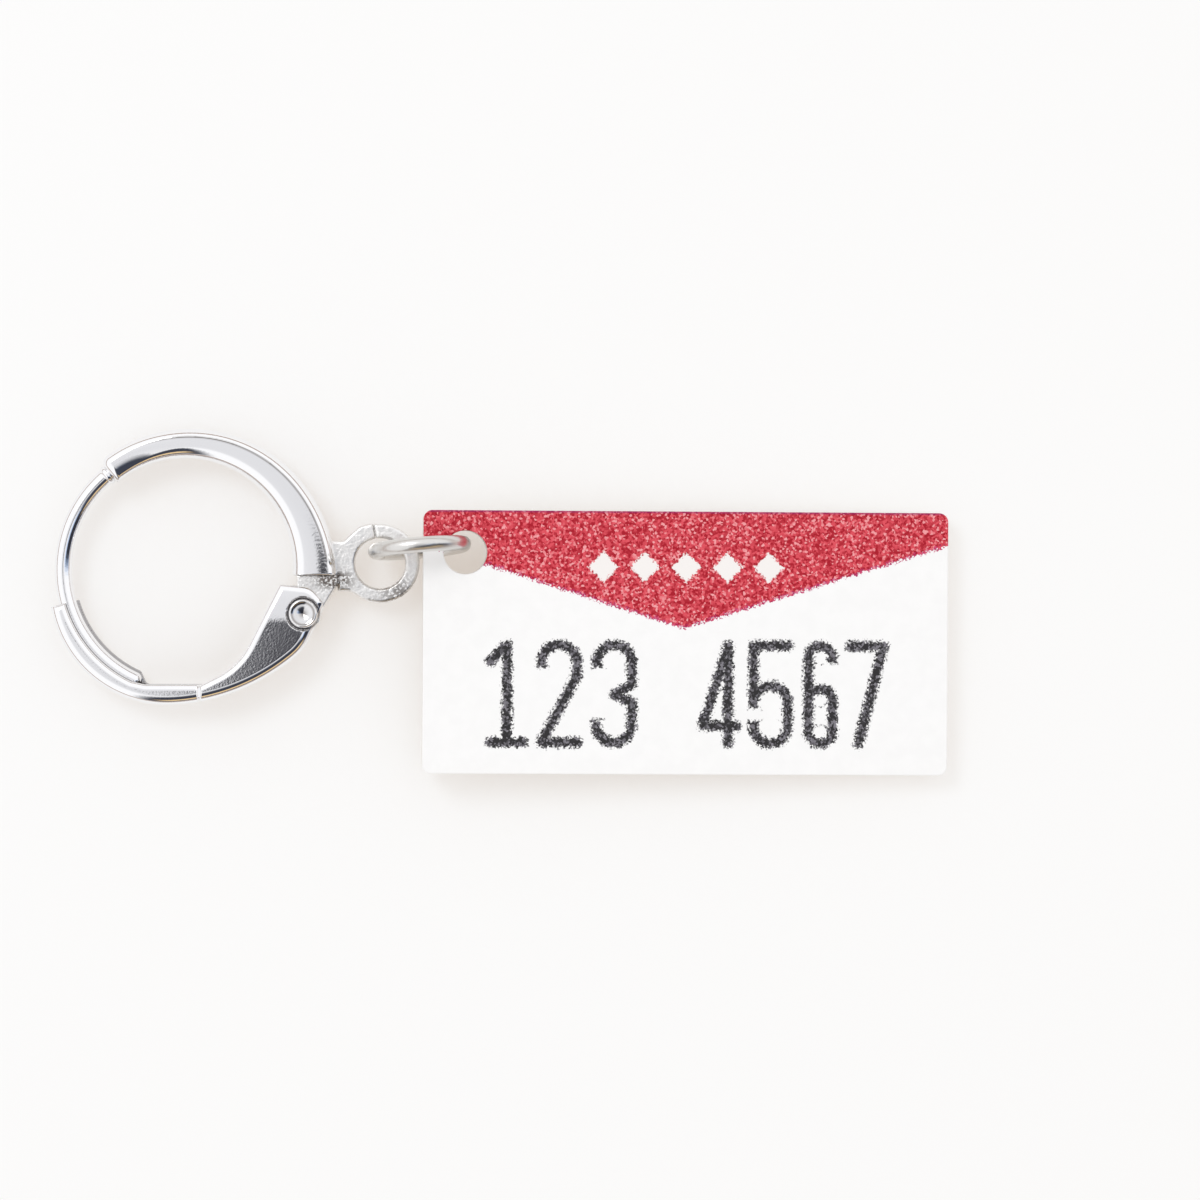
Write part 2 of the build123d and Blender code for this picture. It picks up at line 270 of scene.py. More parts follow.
def rounded(points, radii, count=16):
    """Closed outline whose corners are rounded."""
    result = []
    for i, radius in enumerate(radii):
        point = np.array(points[i], float)
        if radius == 0:
            result.append(point[None])
            continue
        before = points[i - 1] - point
        after = points[(i + 1) % len(points)] - point
        before = before / np.linalg.norm(before)
        after = after / np.linalg.norm(after)
        half = 0.5 * np.arccos(before.dot(after))
        reach = radius / tan(half)
        middle = before + after
        centre = point + middle / np.linalg.norm(middle) * radius / sin(half)
        turning = before[1] * after[0] - before[0] * after[1]
        result.append(arc_points(centre, point + before * reach, point + after * reach, turning, count)[0])
    return np.concatenate(result)


def plan_field(points, low, high):
    """Distance to a closed outline, read smoothly from a fine grid."""
    low = np.array(low) - 6 * plan_step
    counts = np.ceil((np.array(high) + 6 * plan_step - low) / plan_step).astype(int) + 1
    x = (low[0] + plan_step * np.arange(counts[0]))[:, None]
    y = (low[1] + plan_step * np.arange(counts[1]))[None, :]
    nearest = np.full(counts, np.inf)
    inside = np.zeros(counts, bool)
    for a, b in zip(points, np.roll(points, -1, axis=0)):
        edge = b - a
        length = edge.dot(edge)
        if length < 1e-12:
            continue
        t = np.clip(((x - a[0]) * edge[0] + (y - a[1]) * edge[1]) / length, 0, 1)
        np.minimum(nearest, (x - a[0] - t * edge[0]) ** 2 + (y - a[1] - t * edge[1]) ** 2, out=nearest)
        if a[1] != b[1]:
            inside ^= ((y < a[1]) != (y < b[1])) & (x < a[0] + (y - a[1]) * edge[0] / edge[1])
    grid = np.sqrt(nearest) * np.where(inside, -1, 1)

    def weights(f):
        """Shares of four grid points in a cubic spline."""
        return ((1 - f) ** 3 / 6, (3 * f**3 - 6 * f**2 + 4) / 6,
                (-3 * f**3 + 3 * f**2 + 3 * f + 1) / 6, f**3 / 6)

    def read(px, py):
        u = (px - low[0]) / plan_step
        v = (py - low[1]) / plan_step
        i = np.clip(np.floor(u).astype(int), 1, counts[0] - 3)
        j = np.clip(np.floor(v).astype(int), 1, counts[1] - 3)
        wu = weights(np.clip(u - i, 0, 1))
        wv = weights(np.clip(v - j, 0, 1))
        return sum(wu[m] * wv[n] * grid[i + m - 1, j + n - 1] for m in range(4) for n in range(4))

    return read


def net(field, low, high):
    """Smooth mesh of a field's zero level: points, quads and normals."""
    low = np.array(low, float) - 2 * voxel
    counts = np.ceil((np.array(high) - low) / voxel).astype(int) + 3
    sides = [low[a] + voxel * np.arange(counts[a]) for a in range(3)]
    x, y, z = np.meshgrid(*sides, indexing="ij", sparse=True)
    value = np.broadcast_to(field(x, y, z), counts)
    total = int(np.prod(counts))
    sums = np.zeros((3, total))
    hits = np.zeros(total)
    quads = []
    # A quad round each grid edge that the surface crosses, with a corner in each cell beside it
    for axis in range(3):
        before = [slice(None)] * 3
        after = [slice(None)] * 3
        before[axis] = slice(0, -1)
        after[axis] = slice(1, None)
        first = value[tuple(before)]
        second = value[tuple(after)]
        crossing = (first < 0) != (second < 0)
        where = np.argwhere(crossing)
        start = first[crossing]
        point = where.astype(float)
        point[:, axis] += start / (start - second[crossing])
        b, c = [a for a in range(3) if a != axis]
        corners = []
        for step_b, step_c in ((0, 0), (1, 0), (1, 1), (0, 1)):
            cell = where.copy()
            cell[:, b] -= step_b
            cell[:, c] -= step_c
            flat = np.ravel_multi_index(tuple(cell.T), tuple(counts))
            corners.append(flat)
            hits += np.bincount(flat, minlength=total)
            for a in range(3):
                sums[a] += np.bincount(flat, point[:, a], minlength=total)
        quad = np.stack(corners, axis=1)
        turned = (start < 0) == (axis == 1)
        quad[turned] = quad[turned][:, ::-1]
        quads.append(quad)
    used, quads = np.unique(np.concatenate(quads), return_inverse=True)
    points = (sums[:, used] / hits[used]).T * voxel + low
    # Draw the points onto the surface
    for _ in range(4):
        gradient = slope(field, points)
        size = np.maximum((gradient**2).sum(axis=1, keepdims=True), 0.05)
        move = -field(*points.T)[:, None] * gradient / size
        length = np.linalg.norm(move, axis=1, keepdims=True)
        points = points + move * np.minimum(1, 0.5 * voxel / np.maximum(length, 1e-9))
    gradient = slope(field, points)
    size = np.linalg.norm(gradient, axis=1, keepdims=True)
    return points, quads.reshape(-1, 4), gradient / np.maximum(size, 1e-9)


def slope(field, points):
    """A field's gradient at points."""
    reach = 0.3 * voxel
    parts = []
    for axis in range(3):
        step = np.zeros(3)
        step[axis] = reach
        parts.append((field(*(points + step).T) - field(*(points - step).T)) / (2 * reach))
    return np.stack(parts, axis=1)


# Hoop shell
start_ray = polar(1, shell_start_turn)
flank = np.array(shell_outer_centre) + polar(shell_outer_radius, shell_flank_turn)
flank_in = -polar(1, shell_flank_turn)
flank_gap = flank - shell_heel
flank_radius = -flank_gap.dot(flank_gap) / (2 * flank_gap.dot(flank_in))
flank_centre = flank + flank_in * flank_radius


def shell_outer(x, y):
    """Distance to the shell's outer edge: a circle, with a flatter arc down to the heel."""
    cx, cy = shell_outer_centre
    crown = np.hypot(x - cx, y - cy) - shell_outer_radius
    side = np.hypot(x - flank_centre[0], y - flank_centre[1]) - flank_radius
    beyond_flank = (x - cx) * flank_in[1] - (y - cy) * flank_in[0]
    return np.where(beyond_flank < 0, side, crown)


def shell_crease_shade(x, y, z):
    """How strongly the painted shade along the fine crease by the shell's outer edge shows."""
    line = np.exp(-((shell_outer(x, y) + crease_shade_inset) / crease_shade_width) ** 2)
    return line * ease(x, -2.4, 0.0) * (y > 0.4)


def shell_field(x, y, z):
    """Tapering housing, domed near its tip, with a fine crease along its outer edge."""
    ox, oy = shell_opening_centre
    outer = shell_outer(x, y)
    inner = shell_opening_radius - np.hypot(x - ox, y - oy)
    across = (outer - inner) / 2
    end = y * start_ray[0] - x * start_ray[1]
    outer = round_max(outer, end, shell_tip_round)
    along = np.clip((x - shell_start_place) / (shell_heel[0] - shell_start_place), 0, 1)
    half = blend(shell_half_tip, half_lever, along)
    wide = ease(x, *shell_widening)
    dome = blend(shell_tip_dome, shell_dome, wide)
    flat = np.abs(z) - half + dome * (across - shell_tip_lean * (1 - wide)) ** 2
    edge_round = blend(shell_tip_edge_round, shell_outer_round, wide)
    body = np.maximum(round_max(outer, flat - shell_crease * wide, edge_round), flat)
    inner_round = blend(shell_tip_inner_round, shell_inner_round, wide)
    body = np.maximum(body, round_max(inner, flat, inner_round))
    body = round_max(body, end, shell_end_round)
    return round_max(body, shell_heel[1] - y, shell_end_round)


# Lever
def lever_plans():
    """Fields of the lever's folded outer line, and of its free edges below and above."""
    middle = np.array(hinge)
    start = middle + np.array(head_low) * head_radius
    trough = [polar(*place) for place in trough_line]
    first, direction = arc_through(*trough)
    second, direction = arc_from(trough[2], direction, polar(*flank_end))
    third, direction = arc_from(polar(*flank_end), direction, start)
    fold = np.concatenate((first, second[1:], third[1:]))
    beyond = start + direction * far
    fold_region = np.concatenate((fold, [beyond, (far, far), (-far, far), (-far, first[0][1] + 0.2)]))
    side = start + direction * head_side_reach * head_radius
    top = middle + np.array(head_top) * head_radius
    corner = middle + np.array(head_corner) * head_radius
    low = (-6.75, -7.0)
    high = (7.3, -0.4)
    plans = [plan_field(fold_region, low, high)]
    for radius, end_turn in ((far_wall_radius, far_wall_end_turn), (near_wall_radius, near_wall_end_turn)):
        wall = arc_through(polar(radius, end_turn), polar(radius, trough_middle_turn),
                           polar(radius, trough_tip_turn))[0]
        corners = [start - direction * 4, side, top, corner, polar(*cheek_bend), (joggle_place, middle_edge),
                   (middle_left, middle_edge), wall[0], wall[6]]
        smooth = rounded(corners, free_corner_rounds)
        region = np.concatenate((smooth, wall[7:], [polar(9, trough_tip_turn), (-12, -12), (9, -12)]))
        plans.append(plan_field(region, low, high))
    return plans


fold_plan, far_plan, near_plan = lever_plans()


def lever_field(x, y, z):
    """Folded sheet: cheeks round the knuckle, and past the joggle a narrower trough."""
    fold = fold_plan(x, y)
    free = np.where(z > wall_split, near_plan(x, y), far_plan(x, y))
    rise = half_lever - half_arm
    half_out = half_arm + rise * ease(x, joggle_place - joggle_width, joggle_place)
    half_out = half_out - head_dish * np.clip(y - head_dish_place, 0, None) ** 2
    half_in = half_arm - sheet + rise * ease(x, joggle_place + sheet - joggle_width, joggle_place + sheet)
    flat = np.abs(z) - half_out
    body = round_max(fold, flat, fold_round)
    body = np.maximum(body, round_max(free, free_edge_slant * flat, free_edge_round))
    channel = round_max(fold + sheet, np.abs(z) - half_in, channel_round)
    body = round_max(body, -channel, channel_edge_round)
    gap = np.hypot(x - hinge[0], y - hinge[1])
    sink = np.maximum(gap - countersink_radius, half_lever - countersink_depth - np.abs(z))
    return np.maximum(np.maximum(body, -sink), rivet_radius - gap)


def lever_marks(x, y, z):
    """Shade in the countersink round the rivet's head and down inside the trough."""
    gap = np.hypot(x - hinge[0], y - hinge[1])
    below_fold = ease(fold_plan(x, y), 0.05 - sheet, -0.02 - sheet)
    inside = below_fold * ease(np.abs(z), half_arm - 0.1, half_arm - 0.25)
    return np.maximum(np.exp(-((gap - 0.76) / 0.06) ** 2) * 0.9, inside * (gap > head_radius) * 0.65)


def rivet_marks(x, y, z):
    """Shade in the rivet's dimple and where its rim meets the dish."""
    gap = np.hypot(x - hinge[0], y - hinge[1])
    return np.maximum(np.exp(-((gap - 0.54) / 0.045) ** 2) * 0.9, np.exp(-((gap / 0.22) ** 4)) * 0.85)


# Hinge tab and loop
tab_low = (4.8, -3.1)
tab_high = (11.5, 2.4)
neck_plan = plan_field(rounded(neck_outline, neck_rounds), tab_low, tab_high)
knuckle_plan = plan_field(rounded(knuckle_outline, knuckle_rounds), tab_low, tab_high)


def tab_marks(x, y, z):
    """Casting dirt: much beside the shell and at the loop's lower right, little elsewhere."""
    lx, ly = loop_centre
    joint = 1.5 * np.exp(-(((x - tab_dirt[0]) / 0.8) ** 2 + ((y - tab_dirt[1]) / 0.4) ** 2))
    low = np.exp(-(((x - lx - loop_dirt[0]) / 0.9) ** 2 + ((y - ly - loop_dirt[1]) / 0.7) ** 2))
    return np.minimum(1, 0.06 + joint + 0.75 * low)


def tab_field(x, y, z):
    """Thin plate with the parted loop, and the thicker knuckle block that the rivet passes."""
    lx, ly = loop_centre
    gap = np.hypot(x - lx, y - ly)
    plate = smooth_min(gap - loop_outer_radius, neck_plan(x, y), neck_fillet)
    plate = round_max(plate, loop_inner_radius - gap, 0.02)
    ray = polar(1, loop_slit_turn)
    across = (y - ly) * ray[0] - (x - lx) * ray[1]
    along = (x - lx) * ray[0] + (y - ly) * ray[1]
    slit = np.maximum(np.abs(across) - loop_slit_width / 2, -along)
    plate = round_max(plate, -slit, 0.05)
    plate = round_max(plate, np.abs(z) - half_loop, loop_round)
    knuckle = round_max(knuckle_plan(x, y), np.abs(z) - half_knuckle, 0.06)
    body = smooth_min(plate, knuckle, 0.12)
    return np.maximum(body, pin_hole_radius - np.hypot(x - hinge[0], y - hinge[1]))


# Round pieces
def skin(rings):
    """Points and faces of a closed skin over rings of equal count."""
    sides = len(rings[0])
    faces = []
    for i in range(len(rings) - 1):
        for j in range(sides):
            k = (j + 1) % sides
            faces.append((i * sides + j, (i + 1) * sides + j, (i + 1) * sides + k, i * sides + k))
    last = (len(rings) - 1) * sides
    faces.append(tuple(range(sides)))
    faces.append(tuple(last + j for j in reversed(range(sides))))
    return np.concatenate(rings), faces


def bent_tube(profile, circle_radius, place=Matrix()):
    """Tube along a circle; the profile gives (turn, radius) pairs."""
    section = np.linspace(0, 2 * np.pi, tube_sides, endpoint=False)
    turned = place.to_3x3()
    upward = np.array(turned @ Vector((0, 0, 1)))
    rings = []
    for turn, radius in profile:
        ray = Vector((cos(radians(turn)), sin(radians(turn)), 0))
        middle = np.array(place @ (ray * circle_radius))
        outward = np.array(turned @ ray)
        around = np.cos(section)[:, None] * outward + np.sin(section)[:, None] * upward
        rings.append(middle + radius * around)
    return skin(rings)


def round_end(radius, round_radius):
    """Distances from an end, and radii there, of a tube whose end is rounded."""
    turns = np.radians(np.arange(0, 91, 10))
    return [(round_radius * (1 - sin(t)), radius - round_radius * (1 - cos(t))) for t in turns[::-1]]


def wire_profile():
    """Wire from its seat in the shell past the collar to its rounded tip."""
    steps = [(wire_start_turn, wire_radius), (collar_start_turn, wire_radius),
             (collar_start_turn + 0.1, collar_radius - 0.05), (collar_start_turn + 0.8, collar_radius),
             (collar_end_turn - 0.9, collar_radius), (collar_end_turn - 0.3, collar_radius - 0.04),
             (collar_end_turn, wire_radius)]
    end = [(wire_tip_turn - degrees(back / wire_circle_radius), radius)
           for back, radius in round_end(wire_radius, wire_tip_round)][::-1]
    even = [(turn, wire_radius) for turn in np.linspace(collar_end_turn + 0.5, end[0][0] - 0.5, 110)]
    return steps + even + end


def ring_profile():
    """Ring from one side of its slit round to the other."""
    half_slit = ring_slit / 2
    first = [(ring_slit_turn + degrees((half_slit + back) / ring_circle_radius), radius)
             for back, radius in round_end(ring_wire_radius, 0.06)]
    last = [(2 * ring_slit_turn + 360 - turn, radius) for turn, radius in reversed(first)]
    middle = [(turn, ring_wire_radius) for turn in np.linspace(first[-1][0] + 1, last[0][0] - 1, 140)]
    return first + middle + last


def rivet_rings():
    """Rings of the rivet from its lower head to its upper one."""
    # Radii, and depths below the head's rim, from the dimple out to the edge and in to the shank
    half = [(0.001, 0.17), (0.05, 0.165), (0.2, 0.075), (0.42, 0.055), (0.52, 0.05), (0.56, 0.02),
            (0.6, 0.0), (0.64, 0.01), (0.68, 0.06), (rivet_head_radius, 0.12), (rivet_head_radius, 0.22),
            (rivet_radius, 0.22)]
    profile = [(radius, depth - rivet_half) for radius, depth in half]
    profile += [(radius, rivet_half - depth) for radius, depth in reversed(half)]
    turns = np.linspace(0, 2 * np.pi, tube_sides, endpoint=False)
    return [np.stack((hinge[0] + radius * np.cos(turns), hinge[1] + radius * np.sin(turns),
                      np.full(tube_sides, height)), axis=1) for radius, height in profile]


# Materials
def new_material(name):
    material = bpy.data.materials.new(name)
    material.use_nodes = True
    return material, material.node_tree.nodes, material.node_tree.links


# Places of the colour sockets in a Mix node's inputs and outputs
mix_color_a = 6
mix_color_b = 7
mix_color = 2


class Ink:
    """Builds numbers, masks and colours out of shader nodes."""

    def __init__(self, nodes, links):
        self.nodes = nodes
        self.links = links

    def plug(self, value, socket):
        """Links a socket, or sets its number or colour."""
        if isinstance(value, bpy.types.NodeSocket):
            self.links.new(value, socket)
        else:
            socket.default_value = value

    def math(self, operation, *values, clamp=False):
        node = self.nodes.new("ShaderNodeMath")
        node.operation = operation
        node.use_clamp = clamp
        for value, socket in zip(values, node.inputs):
            self.plug(value, socket)
        return node.outputs[0]

    def vector(self, operation, *values):
        node = self.nodes.new("ShaderNodeVectorMath")
        node.operation = operation
        for value, socket in zip(values, node.inputs):
            self.plug(value, socket)
        return node.outputs["Value" if operation in ("LENGTH", "DOT_PRODUCT") else "Vector"]

    def split(self, vector):
        node = self.nodes.new("ShaderNodeSeparateXYZ")
        self.links.new(vector, node.inputs[0])
        return node.outputs

    def millimetres(self):
        """Place on the piece, in its own frame."""
        place = self.nodes.new("ShaderNodeTexCoord").outputs["Object"]
        return self.vector("MULTIPLY", place, (1000, 1000, 1000))

    def noise(self, place, size, detail):
        node = self.nodes.new("ShaderNodeTexNoise")
        node.inputs["Scale"].default_value = 1 / size
        node.inputs["Detail"].default_value = detail
        self.plug(place, node.inputs["Vector"])
        return node.outputs

    def grains(self, place, size):
        """A random number for each grain of ink."""
        node = self.nodes.new("ShaderNodeTexVoronoi")
        node.inputs["Scale"].default_value = 1 / size
        self.plug(place, node.inputs["Vector"])
        return self.split(node.outputs["Color"])[0]

    def step(self, value, start, end):
        """Smooth rise from 0 at the start to 1 at the end, or a fall if the end is lower."""
        node = self.nodes.new("ShaderNodeMapRange")
        node.interpolation_type = "SMOOTHSTEP"
        self.plug(value, node.inputs["Value"])
        node.inputs["From Min"].default_value = start
        node.inputs["From Max"].default_value = end
        return node.outputs["Result"]

    def mix(self, share, a, b):
        node = self.nodes.new("ShaderNodeMix")
        node.data_type = "RGBA"
        self.plug(share, node.inputs["Factor"])
        self.plug(a, node.inputs[mix_color_a])
        self.plug(b, node.inputs[mix_color_b])
        return node.outputs[mix_color]

    def capsule(self, place, a, b):
        """Distance to a straight stroke."""
        span = Vector((b[0] - a[0], b[1] - a[1], 0))
        gap = self.vector("SUBTRACT", place, (a[0], a[1], 0))
        share = self.vector("DOT_PRODUCT", gap, span / span.length_squared)
        share = self.math("ADD", share, 0, clamp=True)
        node = self.nodes.new("ShaderNodeVectorMath")
        node.operation = "SCALE"
        node.inputs[0].default_value = span
        self.plug(share, node.inputs["Scale"])
        return self.vector("LENGTH", self.vector("SUBTRACT", gap, node.outputs["Vector"]))

    def half_ring(self, place, centre, radius, up):
        """Distance to a half circle above (1) or below (-1) its centre."""
        gap = self.vector("SUBTRACT", place, (centre[0], centre[1], 0))
        ring = self.math("ABSOLUTE", self.math("SUBTRACT", self.vector("LENGTH", gap), radius))
        below = self.vector("DOT_PRODUCT", gap, (0, -up, 0))
        return self.math("MAXIMUM", ring, below)


def metal(name, color, roughness, bumps, dirt=None):
    """Uneven metal, darkened by the painted shade and the dirt that its mesh carries.

    Bumps are (width, height) pairs, and dirt is the width of specks that break up that darkening.
    """
    material, nodes, links = new_material(name)
    ink = Ink(nodes, links)
    shader = nodes["Principled BSDF"]
    shader.inputs["Metallic"].default_value = 1
    shader.inputs["Roughness"].default_value = roughness
    # Mesh attribute: painted shade in creases and recesses, and dirt on the loop
    shade_and_dirt = nodes.new("ShaderNodeAttribute")
    shade_and_dirt.attribute_name = "shade_and_dirt"
    amount = shade_and_dirt.outputs["Fac"]
    spot = ink.millimetres()
    if dirt:
        specks = ink.step(ink.noise(spot, dirt, 3)["Fac"], 0.6, 0.46)
        amount = ink.math("MULTIPLY", amount, specks)
    dark = [part * share for part, share in zip(color, mark_shade)]
    links.new(ink.mix(amount, (*color, 1), (*dark, 1)), shader.inputs["Base Color"])
    normal = None
    for width, height in bumps:
        bump = nodes.new("ShaderNodeBump")
        bump.inputs["Strength"].default_value = 1
        bump.inputs["Distance"].default_value = height * 0.001
        links.new(ink.noise(spot, width, 2)["Fac"], bump.inputs["Height"])
        if normal is not None:
            links.new(normal, bump.inputs["Normal"])
        normal = bump.outputs["Normal"]
    links.new(normal, shader.inputs["Normal"])
    return material


# Darkening by painted shade and dirt, as shares of the colour
mark_shade = (0.2, 0.175, 0.16)
chrome = (0.93, 0.93, 0.94)
shell_metal = metal("polished_shell", chrome, 0.07, [(0.12, 0.0012)])
wire_metal = metal("polished_wire", chrome, 0.08, [(0.12, 0.0015)])
lever_metal = metal("polished_lever", chrome, 0.06, [(0.09, 0.0008)])
loop_metal = metal("cast_loop", (0.9, 0.89, 0.875), 0.3, [(0.4, 0.03), (0.12, 0.014)], 0.13)
rivet_metal = metal("rivet_steel", chrome, 0.1, [(0.12, 0.0015)])
ring_metal = metal("ring_wire", (0.72, 0.71, 0.69), 0.28, [(0.12, 0.006)])
spring_metal = metal("spring_steel", (0.6, 0.6, 0.6), 0.3, [(0.12, 0.003)])


def numeral(ink, place, digit, left, right):
    """Distances to a numeral's strokes."""
    low = numeral_low + stroke
    high = numeral_high - stroke
    left += stroke
    right -= stroke
    middle = (low + high) / 2
    radius = (right - left) / 2
    centre = (left + right) / 2
    shoulder = high - radius
    chest = middle + radius / 2
    waist = middle - radius / 2
    foot = low + radius
    post = right - radius / 2
    lines = {
        1: [((centre, low), (centre, high)), ((centre, high), (left, shoulder)), ((left, low), (right, low))],
        2: [((right, shoulder), (right, middle + radius)), ((right, middle + radius), (left, low)),
            ((left, low), (right, low))],
        3: [((right, shoulder), (right, chest)), ((right, chest), (centre, middle)),
            ((centre, middle), (right, waist)), ((right, waist), (right, foot))],
        4: [((post, low), (post, high)), ((post, high), (left, foot)), ((left, foot), (right, foot))],
        5: [((left, high), (right, high)), ((left, high), (left, middle)), ((right, waist), (right, foot))],
        6: [((left, shoulder), (left, foot)), ((right, waist), (right, foot))],
        7: [((left, high), (right, high)), ((right, high), (centre - radius / 2, low))],
    }[digit]
    rings = {
        2: [(shoulder, 1)],
        3: [(shoulder, 1), (foot, -1)],
        5: [(waist, 1), (foot, -1)],
        6: [(shoulder, 1), (foot, -1), (waist, 1)],
    }.get(digit, [])
    distances = [ink.capsule(place, a, b) for a, b in lines]
    return distances + [ink.half_ring(place, (centre, height), radius, up) for height, up in rings]


def smallest(ink, distances):
    result = distances[0]
    for distance in distances[1:]:
        result = ink.math("MINIMUM", result, distance)
    return result


# Colours of the plastic and its print
dull_white = (0.92, 0.922, 0.928, 1)
bright_white = (0.94, 0.942, 0.948, 1)
side_white = (0.86, 0.84, 0.82, 1)
diamond_white = (0.9, 0.87, 0.86, 1)
deep_red = (0.4, 0.008, 0.022, 1)
bright_red = (0.74, 0.085, 0.115, 1)
pale_red = (0.92, 0.45, 0.47, 1)
fringe_purple = (0.46, 0.05, 0.26, 1)
rim_purple = (0.2, 0.02, 0.15, 1)
deep_charcoal = (0.003, 0.002, 0.004, 1)
pale_charcoal = (0.2, 0.19, 0.22, 1)


def add_red_field(ink, color, spot, ragged, grain, fray):
    """Field with a low point in its middle, purple along its edges."""
    x, y = ink.split(spot)[:2]
    gap = ink.math("ABSOLUTE", ink.math("SUBTRACT", x, field_apex[0]))
    edge = ink.math("MULTIPLY_ADD", gap, field_slope, field_apex[1])
    above = ink.math("ADD", ink.math("SUBTRACT", ink.split(ragged)[1], edge), fray)
    red = ink.mix(ink.step(grain, 0.05, 0.8), deep_red, bright_red)
    red = ink.mix(ink.math("MULTIPLY", ink.step(grain, 0.72, 1.0), 0.75), red, pale_red)
    fringe = ink.step(ink.math("ABSOLUTE", above), 0.16, 0.04)
    red = ink.mix(ink.math("MULTIPLY", fringe, 0.5), red, fringe_purple)
    rim = ink.step(y, 6.22, 6.3)
    red = ink.mix(ink.math("MULTIPLY", rim, 0.5), red, rim_purple)
    return ink.mix(ink.step(above, -0.04, 0.04), color, red)


def add_diamonds(ink, color, ragged, fray):
    """A row of small diamonds on the red field."""
    reaches = []
    for place in diamond_places:
        gap = ink.vector("ABSOLUTE", ink.vector("SUBTRACT", ragged, (place, diamond_height, 0)))
        reaches.append(ink.vector("DOT_PRODUCT", gap, (1, 1, 0)))
    reach = ink.math("ADD", smallest(ink, reaches), fray)
    return ink.mix(ink.step(reach, diamond_reach + 0.06, diamond_reach - 0.06), color, diamond_white)


def add_numerals(ink, color, ragged, grain, fray):
    """The numerals from 1 to 7 in a row."""
    strokes = []
    for digit, (left, right) in enumerate(numeral_sides, 1):
        strokes += numeral(ink, ragged, digit, left, right)
    dark = ink.step(ink.math("ADD", smallest(ink, strokes), fray), stroke + 0.05, stroke - 0.07)
    charcoal = ink.mix(ink.step(grain, 0.45, 1.0), deep_charcoal, pale_charcoal)
    return ink.mix(ink.math("MULTIPLY", dark, 0.97), color, charcoal)


def printed_plastic():
    """White plastic with grainy, ragged print on its upper face."""
    material, nodes, links = new_material("printed_plastic")
    ink = Ink(nodes, links)
    shader = nodes["Principled BSDF"]
    spot = ink.millimetres()
    face = ink.vector("MULTIPLY", spot, (1, 1, 0))
    wobble = ink.vector("SUBTRACT", ink.noise(face, ink_grain, 4)["Color"], (0.5, 0.5, 0.5))
    ragged = ink.vector("ADD", face, ink.vector("MULTIPLY", wobble, (0.2, 0.2, 0)))
    grain = ink.grains(face, ink_grain)
    fray = ink.grains(ink.vector("ADD", face, (far, 0, 0)), ink_fray)
    fray = ink.math("MULTIPLY_ADD", fray, 0.2, -0.1)
    patches = ink.noise(face, plastic_patch, 3)["Fac"]
    color = ink.mix(ink.step(patches, 0.3, 0.7), dull_white, bright_white)
    color = add_red_field(ink, color, spot, ragged, grain, fray)
    color = add_diamonds(ink, color, ragged, fray)
    color = add_numerals(ink, color, ragged, grain, fray)
    half = charm_thickness / 2
    top = ink.step(ink.split(spot)[2], half - 0.065, half - 0.055)
    links.new(ink.mix(top, side_white, color), shader.inputs["Base Color"])
    shader.inputs["Roughness"].default_value = 0.5
    shader.inputs["Specular IOR Level"].default_value = 0.15
    return material


plastic = printed_plastic()


# Pieces
def add_mesh(name, points, faces, material, body, normals=None, shade_and_dirt=None):
    """Smooth piece that rides a body."""
    mesh = bpy.data.meshes.new(name)
    rows = np.asarray(points) * 0.001 + np.array(shift)
    mesh.from_pydata(rows.tolist(), [], faces if normals is None else faces.tolist())
    mesh.polygons.foreach_set("use_smooth", [True] * len(mesh.polygons))
    if normals is not None:
        mesh.normals_split_custom_set_from_vertices(normals.tolist())
    if shade_and_dirt is not None:
        mesh.attributes.new("shade_and_dirt", "FLOAT", "POINT").data.foreach_set("value", shade_and_dirt)
    mesh.materials.append(material)
    piece = bpy.data.objects.new(name, mesh)
    bpy.context.scene.collection.objects.link(piece)
    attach(piece, body)
    return piece


def stand_for(piece, node):
    """Shows a piece instead of its CAD node."""
    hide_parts(node)


points, quads, normals = net(shell_field, (-4.9, -0.5, -1.3), (7.5, 7.0, 1.3))
shell = add_mesh("shell", points, quads, shell_metal, "hoop", normals, shell_crease_shade(*points.T))
stand_for(shell, "hoop_shell")
points, quads, normals = net(lever_field, (-6.7, -7.0, -1.3), (7.25, -0.5, 1.3))
lever = add_mesh("lever", points, quads, lever_metal, "lever", normals, lever_marks(*points.T))
stand_for(lever, "latch_lever")
points, quads, normals = net(tab_field, (4.85, -3.1, -0.95), (11.45, 2.35, 0.95))
loop = add_mesh("loop", points, quads, loop_metal, "hoop", normals, tab_marks(*points.T))
stand_for(loop, "loop_tab")
points, faces = bent_tube(wire_profile(), wire_circle_radius)
stand_for(add_mesh("wire", points, faces, wire_metal, "hoop"), "ear_wire")
ring_place = (Matrix.Translation(ring_middle) @ Matrix.Rotation(radians(ring_yaw), 4, "Z")
              @ Matrix.Rotation(radians(90 - ring_lean), 4, "X"))
points, faces = bent_tube(ring_profile(), ring_circle_radius, ring_place)
stand_for(add_mesh("split_ring", points, faces, ring_metal, "ring"), "jump_ring")
points, faces = skin(rivet_rings())
rivet = add_mesh("rivet", points, faces, rivet_metal, "lever", None, rivet_marks(*points.T))
stand_for(rivet, "hinge_rivet")

spring = frame["nodes"]["latch_spring"]
spring.data.materials.clear()
spring.data.materials.append(spring_metal)


